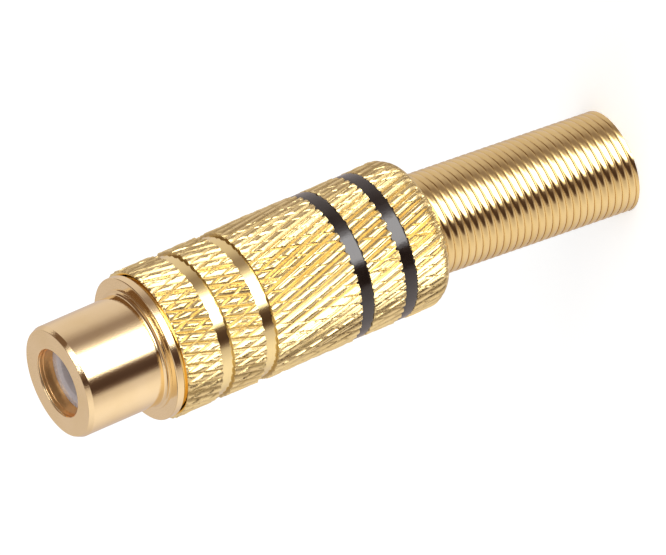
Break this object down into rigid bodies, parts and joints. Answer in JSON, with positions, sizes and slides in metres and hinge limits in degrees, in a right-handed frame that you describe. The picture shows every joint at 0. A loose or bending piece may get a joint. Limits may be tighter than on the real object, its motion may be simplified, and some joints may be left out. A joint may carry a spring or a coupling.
{
  "type": "rca socket",
  "caption": "In-line phono socket: a plated tube with a recessed white insulator on a flanged shell, a knurled screw-on barrel with two black rings, and a spring strain relief.",
  "frame": {"origin": "on the barrel's axis, at the level of the spring end that it stands on", "axes": "+Z along the barrel's axis, towards the mouth; the spring leans towards -X"},
  "size_m": [0.0112, 0.0112, 0.0459],
  "materials": {
    "polished_plating": "polished plating, pale warm yellow",
    "knurled_plating": "bright plating over a rolled diamond knurl",
    "spring_plating": "plated drawn wire",
    "contact_plating": "plated",
    "tinned_sheet": "tinned brass sheet",
    "insulator_plastic": "moulded, slightly milky",
    "laminate": "punched brown laminate",
    "sleeve_plastic": "thin extruded tube",
    "black_lacquer": "glossy black lacquer"
  },
  "bodies": {
    "socket": {"contact_shell": "polished_plating", "insulator": "insulator_plastic", "centre_contact": "contact_plating", "rear_washer": "laminate", "ground_lug": "tinned_sheet"},
    "boot": {"spring": "spring_plating", "insulating_sleeve": "sleeve_plastic"},
    "cover": {"barrel": "knurled_plating", "lacquer_ring_front": "black_lacquer", "lacquer_ring_rear": "black_lacquer"}
  },
  "joints": [
    {"name": "cover_travel", "type": "slide", "parent": "socket", "child": "boot", "axis": [0, 0, -1], "range_m": [0, 0.0045]},
    {"name": "cover_unscrew", "type": "hinge", "parent": "boot", "child": "cover", "pos_m": [0, 0, 0.027], "axis": [0, 0, -1], "range_deg": [0, 2160]}
  ],
  "couplings": [
    {"joint": "cover_travel", "follows": "cover_unscrew", "m_per_rad": 0.00011937}
  ]
}
